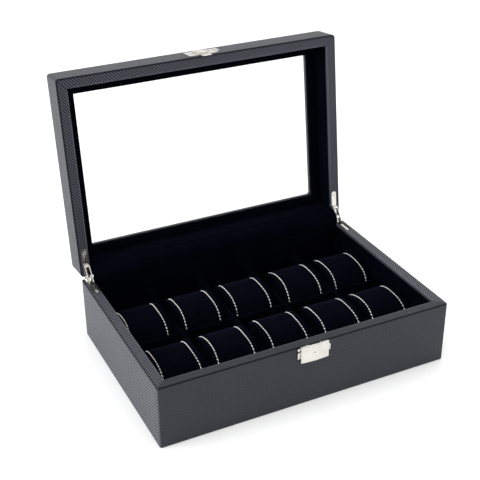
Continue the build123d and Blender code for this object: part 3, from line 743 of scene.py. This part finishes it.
def panel_mesh(build, low, high, rounding):
    """Rounded slab with enough rows across its faces for a slight unevenness."""
    for vert in bmesh.ops.create_cube(build, size=1.0)["verts"]:
        vert.co = Vector(low[i] if vert.co[i] < 0 else high[i] for i in range(3))
    bmesh.ops.bevel(
        build, geom=list(build.edges), offset=rounding, segments=3, profile=0.6, affect="EDGES"
    )
    for axis in range(3):
        length = high[axis] - low[axis]
        count = int(length / PANEL_SPACING)
        normal = Vector((axis == 0, axis == 1, axis == 2))
        for k in range(1, count):
            place = Vector(low) + normal * (length * k / count)
            geometry = list(build.verts) + list(build.edges) + list(build.faces)
            bmesh.ops.bisect_plane(build, geom=geometry, plane_co=place, plane_no=normal, dist=1e-7)
    for vert in build.verts:
        vert.co += Vector(wobble(vert.co + Vector((k, 2 * k, 0)), 45, PANEL_WAVE) for k in range(3))


def panel(node, body, material=LINING_VELVET):
    """Velvet-covered panel in place of a CAD node of the same size."""
    in_lid = body == "lid"
    low, high = closed_box(node) if in_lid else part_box(node)
    rounding = min(PANEL_ROUND, 0.45 * min(high - low))
    piece = new_piece(node + "_cover", lambda build: panel_mesh(build, low, high, rounding), material)
    smooth_by_angle(piece, 50)
    if in_lid:
        open_with_lid(piece)
    else:
        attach(piece, body)
    stand_for(node)


def linings():
    for side in ("left", "right", "front", "back"):
        panel("base_lining_" + side, "base")
        panel("lid_lining_" + side, "lid")
    panel("floor_lining", "base")
    panel("underside_felt", "base", FELT)


def divider_mesh(build, low, high, along, wave):
    """Card wrapped in velvet: a wall along one axis with a round top edge."""
    across = 1 - along
    thickness = high[across] - low[across]
    radius = thickness / 2
    middle = (low[across] + high[across]) / 2
    outline = [(-radius, low.z), (-radius, (low.z + high.z) / 2)]
    for k in range(9):
        angle = math.pi - math.pi * k / 8
        outline.append((radius * math.cos(angle), high.z - radius + radius * math.sin(angle)))
    outline += [(radius, (low.z + high.z) / 2), (radius, low.z)]
    count = int((high[along] - low[along]) / (5 * MM))
    rows = []
    for k in range(count + 1):
        place = low[along] + (high[along] - low[along]) * k / count
        row = []
        for offset, z in outline:
            point = Vector((0, 0, z))
            point[along] = place
            point[across] = middle + offset
            edge_fade = 0.0 if k in (0, count) else 1.0
            point[across] += edge_fade * wobble((place, middle, z), 60, wave)
            row.append(build.verts.new(point))
        rows.append(row)
    for a, b in zip(rows, rows[1:]):
        for k in range(len(outline) - 1):
            build.faces.new([a[k], a[k + 1], b[k + 1], b[k]])
        build.faces.new([a[-1], a[0], b[0], b[-1]])
    build.faces.new(rows[0])
    build.faces.new(list(reversed(rows[-1])))
    bmesh.ops.recalc_face_normals(build, faces=build.faces)


def dividers():
    """Cross partitions run through; the lengthwise one is notched where they drop in."""
    cutters = []
    for number in range(1, 5):
        node = f"divider_cross_{number}"
        low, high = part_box(node)
        piece = new_piece(
            node + "_cover", lambda build: divider_mesh(build, low, high, 1, 0.18 * MM), LINING_VELVET
        )
        long_low, long_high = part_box("divider_lengthwise")
        notch_z = (low.z + high.z) / 2
        slot_half = (long_high.y - long_low.y) / 2 + 0.1 * MM
        below = box_cutter(
            "notch", (low.x - 2 * MM, -slot_half, low.z - 1 * MM), (high.x + 2 * MM, slot_half, notch_z)
        )
        cut(piece, below)
        smooth_by_angle(piece, 50)
        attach(piece, "base")
        stand_for(node)
        cutters.append(
            box_cutter(
                "notch",
                (low.x - NOTCH_GAP, long_low.y - OVER, notch_z),
                (high.x + NOTCH_GAP, long_high.y + OVER, high.z + PAST),
            )
        )
    low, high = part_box("divider_lengthwise")
    piece = new_piece(
        "divider_lengthwise_cover", lambda build: divider_mesh(build, low, high, 0, 0.15 * MM), LINING_VELVET
    )
    cut(piece, *cutters)
    smooth_by_angle(piece, 50)
    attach(piece, "base")
    stand_for("divider_lengthwise")


# ---------------------------------------------------------------- cushions


def section_point(angle, half_y, half_z):
    """Point of the cushion's rounded-oval section."""
    c = math.cos(angle)
    s = math.sin(angle)
    y = half_y * math.copysign(abs(c) ** (2 / CUSHION_POWER), c)
    z = half_z * math.copysign(abs(s) ** (2 / CUSHION_POWER), s)
    return y, z


def cushion_rows(half_x):
    """(x, radius share, radius pull) from one end's middle, through its grooved edge, to the other's."""
    rows = [(-half_x, share, 0.0) for share in (0.25, 0.5, 0.7)]
    for degrees in (15, 32, 49, 66, 80):
        pull = CUSHION_EDGE * (1 - math.sin(math.radians(degrees)))
        rows.append((-half_x + pull, 1.0, pull))
    inner = half_x - CUSHION_EDGE
    steps = 13
    middle = [(-inner + 2 * inner * k / steps, 1.0, 0.0) for k in range(steps + 1)]
    mirrored = [(-x, share, pull) for x, share, pull in reversed(rows)]
    return rows + middle + mirrored


def cushion_shell(build, half_x, half_y, half_z, seed):
    """Closed shell of a watch cushion about the origin, with its axis along X."""
    rows = []
    for x, share, pull in cushion_rows(half_x):
        row = []
        for c in range(CUSHION_COLUMNS):
            angle = 2 * math.pi * c / CUSHION_COLUMNS
            y, z = section_point(angle, half_y - pull, half_z - pull)
            uneven = 1 + wobble((x + seed, y, z), 40, 0.012)
            row.append(build.verts.new((x, y * share * uneven, z * share * uneven)))
        rows.append(row)
    for a, b in zip(rows, rows[1:]):
        for c in range(CUSHION_COLUMNS):
            d = (c + 1) % CUSHION_COLUMNS
            build.faces.new([a[c], a[d], b[d], b[c]])
    for row in (rows[0], rows[-1]):
        pole = build.verts.new((row[0].co.x, 0, 0))
        for c in range(CUSHION_COLUMNS):
            build.faces.new([row[c], row[(c + 1) % CUSHION_COLUMNS], pole])
    bmesh.ops.recalc_face_normals(build, faces=build.faces)


def inflate(piece, pressure, frames=20):
    """Cloth simulation under pressure, pinned along the two seams, with its movement capped."""
    pins = piece.vertex_groups.new(name="pins")
    for vert in piece.data.vertices:
        from_seam = abs(abs(vert.co.x) - STITCH_RING_X)
        if from_seam < 1.6 * MM:
            pins.add([vert.index], 1.0, "REPLACE")
    cloth = piece.modifiers.new("cloth", "CLOTH")
    settings = cloth.settings
    settings.quality = 6
    settings.mass = 0.02
    settings.use_pressure = True
    settings.uniform_pressure_force = pressure
    settings.vertex_group_mass = "pins"
    settings.tension_stiffness = 12
    settings.compression_stiffness = 12
    settings.bending_stiffness = 0.4
    settings.effector_weights.gravity = 0
    cloth.point_cache.frame_start = 1
    cloth.point_cache.frame_end = frames
    for number in range(1, frames + 1):
        scene.frame_set(number)
    graph = bpy.context.evaluated_depsgraph_get()
    moved = [v.co.copy() for v in piece.evaluated_get(graph).data.vertices]
    piece.modifiers.remove(cloth)
    scene.frame_set(1)
    longest = 0.0
    for vert, place in zip(piece.data.vertices, moved):
        shift = place - vert.co
        longest = max(longest, shift.length)
        if shift.length > SWELL_CAP:
            shift *= SWELL_CAP / shift.length
        vert.co += shift
    print(f"{piece.name}: the cloth moved {longest / MM:.2f} mm before the cap")


def seam_shift(side, y, z, seed):
    """How far a hand-guided seam strays from its line at a place round the cushion."""
    return wobble((side + 5.1 * seed, y, z), 34, SEAM_WANDER)


def pucker(piece, seed):
    """Draws the velvet in along the two seams, a little more at each stitch."""
    for vert in piece.data.vertices:
        x, y, z = vert.co
        side = math.copysign(1, x)
        across = (abs(x - seam_shift(side, y, z, seed)) - STITCH_RING_X) / PUCKER_WIDTH
        if abs(across) > 3:
            continue
        radius = math.hypot(y, z)
        around = math.atan2(z, y) * radius
        stitch = 0.5 + 0.5 * math.cos(2 * math.pi * around / STITCH_PITCH)
        depth = (PUCKER_DEPTH + STITCH_PULL * stitch) * math.exp(-across * across)
        vert.co.y -= depth * y / radius
        vert.co.z -= depth * z / radius


def subdivide(piece, levels):
    modifier = piece.modifiers.new("rounding", "SUBSURF")
    modifier.levels = levels
    modifier.render_levels = levels
    bpy.context.view_layer.update()
    bake_modifiers(piece)


def cushion_variant(number, half):
    """Mesh of one cushion about the origin, simulated."""
    start = [size - room for size, room in zip(half, CUSHION_ROOM)]
    piece = new_piece(
        f"cushion_variant_{number}", lambda build: cushion_shell(build, *start, number * 0.37), CUSHION_VELVET
    )
    inflate(piece, pressure=4.0 + 0.5 * number)
    subdivide(piece, 2)
    pucker(piece, number)
    smooth_by_angle(piece, 80)
    mesh = piece.data
    bpy.data.objects.remove(piece)
    return mesh


def seam_line(mesh, x):
    """Points round the cushion's surface at x, a stitch pitch apart, with the seam's direction there."""
    samples = 720
    ring_points = {}
    for vert in mesh.vertices:
        if abs(vert.co.x - x) < 0.8 * MM:
            key = int((math.atan2(vert.co.z, vert.co.y) / (2 * math.pi) + 0.5) * samples)
            radius = math.hypot(vert.co.y, vert.co.z)
            ring_points.setdefault(key, []).append(radius)
    known = sorted((key, sum(r) / len(r)) for key, r in ring_points.items())

    def radius_at(key):
        key %= samples
        for (k0, r0), (k1, r1) in zip(known, known[1:] + [(known[0][0] + samples, known[0][1])]):
            if k0 <= key <= k1:
                return r0 + (r1 - r0) * (key - k0) / max(k1 - k0, 1)
        return known[0][1]

    line = []
    for key in range(samples):
        angle = (key / samples - 0.5) * 2 * math.pi
        radius = radius_at(key)
        line.append(Vector((x, radius * math.cos(angle), radius * math.sin(angle))))
    lengths = [0.0]
    for a, b in zip(line, line[1:] + line[:1]):
        lengths.append(lengths[-1] + (b - a).length)
    count = round(lengths[-1] / STITCH_PITCH)
    spots = []
    index = 0
    for k in range(count):
        target = lengths[-1] * k / count
        while lengths[index + 1] < target:
            index += 1
        share = (target - lengths[index]) / (lengths[index + 1] - lengths[index])
        a, b = line[index], line[(index + 1) % samples]
        spots.append((a.lerp(b, share), (b - a).normalized()))
    return spots


def stitch(build, centre, along, slant):
    """One stitch: a short twisted two-ply thread whose ends dip into the velvet."""
    outward = Vector((0, centre.y, centre.z)).normalized()
    along = (along + Vector((slant, 0, 0))).normalized()
    side = along.cross(outward).normalized()
    rings = []
    steps = 9
    sides = 8
    for k in range(steps + 1):
        t = k / steps
        taper = math.sin(math.pi * (0.08 + 0.84 * t)) ** 0.45
        lift = 0.48 * MM * math.sin(math.pi * t) ** 0.6 - 0.22 * MM
        middle = centre + along * (STITCH_LENGTH * (t - 0.5)) + outward * lift
        twist = t * 2.2 * math.pi
        row = []
        for s in range(sides):
            angle = 2 * math.pi * s / sides
            ply = 0.80 + 0.24 * abs(math.cos(angle - twist))
            reach = THREAD_RADIUS * taper * ply
            spoke = side * (reach * math.cos(angle)) + outward * (reach * math.sin(angle))
            row.append(build.verts.new(middle + spoke))
        rings.append(row)
    for a, b in zip(rings, rings[1:]):
        for s in range(sides):
            n = (s + 1) % sides
            build.faces.new([a[s], a[n], b[n], b[s]])
    build.faces.new(rings[0])
    build.faces.new(rings[-1])


def stitching_mesh(mesh, seed):
    """Both seams of a cushion as one mesh of stitches."""
    chance = random.Random(seed)

    def fill(build):
        for x in (-STITCH_RING_X, STITCH_RING_X):
            for place, along in seam_line(mesh, x):
                shift = seam_shift(math.copysign(1, x), place.y, place.z, seed)
                moved = place + Vector((shift, 0, 0))
                stitch(build, moved, along, chance.uniform(0.02, 0.34))
        bmesh.ops.recalc_face_normals(build, faces=build.faces)

    piece = new_piece("stitching_variant", fill, THREAD)
    smooth_by_angle(piece, 70)
    made = piece.data
    bpy.data.objects.remove(piece)
    return made


def cushions():
    low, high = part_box("cushion_front_1")
    half = (high - low) / 2
    shells = [cushion_variant(k, half) for k in range(CUSHION_VARIANTS)]
    seams = [stitching_mesh(mesh, k) for k, mesh in enumerate(shells)]
    chance = random.Random(11)
    for row in ("front", "back"):
        for column in range(1, 6):
            node = f"cushion_{row}_{column}"
            low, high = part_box(node)
            centre = (low + high) / 2
            kind = (column + (row == "back")) % CUSHION_VARIANTS
            turn = Matrix.Rotation(math.radians(chance.uniform(-2.5, 2.5)), 4, "X")
            place = Matrix.Translation(centre) @ turn
            shell = bpy.data.objects.new(node + "_velvet", shells[kind].copy())
            thread_piece = bpy.data.objects.new(node + "_stitching", seams[kind].copy())
            for piece in (shell, thread_piece):
                scene.collection.objects.link(piece)
                piece.data.transform(place)
                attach(piece, node)
            stand_for(node)


# ---------------------------------------------------------------- velvet strip at the hinge


def strip_path(low, high):
    """(y, z) along the strip's middle from the back wall up to the lid's rim, bowed towards the inside."""
    foot = [(low.y + STRIP_ROOM, low.z), (low.y + STRIP_ROOM, low.z + 1.6 * MM)]
    start = Vector((foot[-1][0], foot[-1][1])) - Vector((PIVOT.y, PIVOT.z))
    end = Vector((high.y - STRIP_ROOM, high.z - STRIP_ROOM)) - Vector((PIVOT.y, PIVOT.z))
    start_angle = math.atan2(start.y, start.x) % (2 * math.pi)
    end_angle = math.atan2(end.y, end.x) % (2 * math.pi)
    path = list(foot)
    steps = 14
    for k in range(1, steps + 1):
        t = k / steps
        angle = start_angle + (end_angle - start_angle) * t
        radius = start.length + (end.length - start.length) * t + STRIP_BOW * math.sin(math.pi * t)
        path.append((PIVOT.y + radius * math.cos(angle), PIVOT.z + radius * math.sin(angle)))
    rim_place = len(path) - 1
    rim = closed_box("lid_leatherette")[0].z
    wall = closed_box("lid_lining_back")[0].y - 0.1 * MM
    for rise in (1.2, 2.4, RETURN_DEPTH / MM + 0.6):
        point = OPENING @ Vector((0, wall - STRIP_ROOM, rim + rise * MM))
        path.append((point.y, point.z))
    return path, rim_place


def hinge_strip():
    """Thin velvet sheet across the hinge gap, built bowed inwards for the open lid."""
    low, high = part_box("hinge_flap")
    path, rim_place = strip_path(low, high)
    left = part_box("left_hinge_base_leaf")[1].x + STRIP_GAP
    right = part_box("right_hinge_base_leaf")[0].x - STRIP_GAP
    count = 42

    def fill(build):
        sheets = []
        for face_side in (-1, 1):
            rows = []
            for k, (y, z) in enumerate(path):
                y0, z0 = path[max(k - 1, 0)]
                y1, z1 = path[min(k + 1, len(path) - 1)]
                normal = Vector((0, -(z1 - z0), y1 - y0)).normalized()
                row = []
                for c in range(count + 1):
                    x = left + (right - left) * c / count
                    fade = math.sin(math.pi * k / (len(path) - 1))
                    ripple = wobble((x, 0.3, k * 0.002), 70, 0.5 * MM) * fade
                    offset = face_side * STRIP_THICK / 2 + ripple
                    row.append(build.verts.new(Vector((x, y, z)) + normal * offset))
                rows.append(row)
            sheets.append(rows)
        for rows in sheets:
            for a, b in zip(rows, rows[1:]):
                for c in range(count):
                    build.faces.new([a[c], a[c + 1], b[c + 1], b[c]])
        under, over = sheets
        for k in (0, -1):
            for c in range(count):
                build.faces.new([under[k][c], under[k][c + 1], over[k][c + 1], over[k][c]])
        for c in (0, -1):
            for k in range(len(path) - 1):
                build.faces.new([under[k][c], under[k + 1][c], over[k + 1][c], over[k][c]])
        bmesh.ops.recalc_face_normals(build, faces=build.faces)

    piece = new_piece("hinge_strip_velvet", fill, LINING_VELVET)
    smooth_by_angle(piece, 60)
    stand_for("hinge_flap")
    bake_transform(piece)


# ---------------------------------------------------------------- hardware


METAL_NODES = [
    "lock_plate", "lock_case", "key_barrel", "lid_catch",
    "left_hinge_base_leaf", "right_hinge_base_leaf", "left_hinge_lid_leaf", "right_hinge_lid_leaf",
    "left_hinge_stays", "right_hinge_stays",
]
STEEL_NODES = [
    "lock_bolt", "lock_screws", "catch_screws", "hinge_base_screws", "hinge_lid_screws",
    "left_hinge_pin", "right_hinge_pin", "left_stay_pin", "right_stay_pin",
]


def soften_edges(piece, width):
    """Small bevels on a CAD node's edges, so that they catch the light."""
    weld = piece.modifiers.new("weld", "WELD")
    weld.merge_threshold = 0.002 * MM
    bevel = piece.modifiers.new("bevel", "BEVEL")
    bevel.width = width
    bevel.segments = 2
    bevel.limit_method = "ANGLE"
    bevel.angle_limit = math.radians(40)
    bevel.harden_normals = False


def hardware():
    for name in METAL_NODES:
        paint(nodes[name], NICKEL)
        soften_edges(nodes[name], 0.10 * MM)
    for name in STEEL_NODES:
        paint(nodes[name], DARK_STEEL if name in ("catch_screws", "lock_screws") else STEEL)
    paint(nodes["key_barrel"], KEYWAY)
    paint(nodes["glass_pane"], GLASS)
    for name in nodes:
        if "_board_" in name:
            paint(nodes[name], FIBREBOARD)


# ---------------------------------------------------------------- studio


def studio():
    """White floor, white surroundings and soft panels."""
    floor = new_piece("floor", lambda build: bmesh.ops.create_grid(build, x_segments=8, y_segments=8, size=6))
    paint(floor, floor_material())
    world = bpy.data.worlds.new("surroundings")
    scene.world = world
    world.use_nodes = True
    background = world.node_tree.nodes["Background"]
    background.inputs["Color"].default_value = (1, 1, 1, 1)
    background.inputs["Strength"].default_value = 1.0
    panels = [
        ("left_panel", (-1.5, 0.1, 0.5), (1.2, 1.2), 17.0),
        ("top_panel", (0.1, 0.3, 1.9), (1.4, 1.0), 5.0),
        ("right_panel", (1.3, -0.9, 0.8), (0.9, 0.9), 5.0),
    ]
    for name, place, size, power in panels:
        light = bpy.data.lights.new(name, "AREA")
        light.shape = "RECTANGLE"
        light.size, light.size_y = size
        light.energy = power
        lamp = bpy.data.objects.new(name, light)
        scene.collection.objects.link(lamp)
        lamp.location = place
        aim = Vector((0, 0, 0.08)) - Vector(place)
        lamp.rotation_euler = aim.to_track_quat("-Z", "Y").to_euler()


def floor_material():
    """Matt white paper with a very faint tooth."""
    made = Shader("white_floor", (0.93, 0.93, 0.93), 0.85, Specular_IOR_Level=0.1)
    made.bsdf.inputs["Emission Color"].default_value = (1, 1, 1, 1)
    made.bsdf.inputs["Emission Strength"].default_value = 0.12
    made.bump(made.noise(900, 3), 0.05 * MM, 0.2)
    return made.material


def camera():
    yaw = math.radians(CAMERA_YAW)
    pitch = math.radians(CAMERA_PITCH)
    roll = math.radians(CAMERA_ROLL)
    forward = Vector((math.sin(yaw) * math.cos(pitch), math.cos(yaw) * math.cos(pitch), -math.sin(pitch)))
    level_right = Vector((math.cos(yaw), -math.sin(yaw), 0))
    level_up = level_right.cross(forward)
    right = level_right * math.cos(roll) + level_up * math.sin(roll)
    up = level_up * math.cos(roll) - level_right * math.sin(roll)
    data = bpy.data.cameras.new("camera")
    data.lens = CAMERA_LENS
    data.sensor_width = 36
    data.clip_start = 0.02
    made = bpy.data.objects.new("camera", data)
    scene.collection.objects.link(made)
    turn = Matrix((right, up, -forward)).transposed().to_4x4()
    made.matrix_world = Matrix.Translation(CAMERA_PLACE) @ turn
    scene.camera = made


scene.view_settings.view_transform = "Standard"
camera()
studio()
base_skin()
lid_skin()
glass_frame()
linings()
dividers()
cushions()
hinge_strip()
hardware()
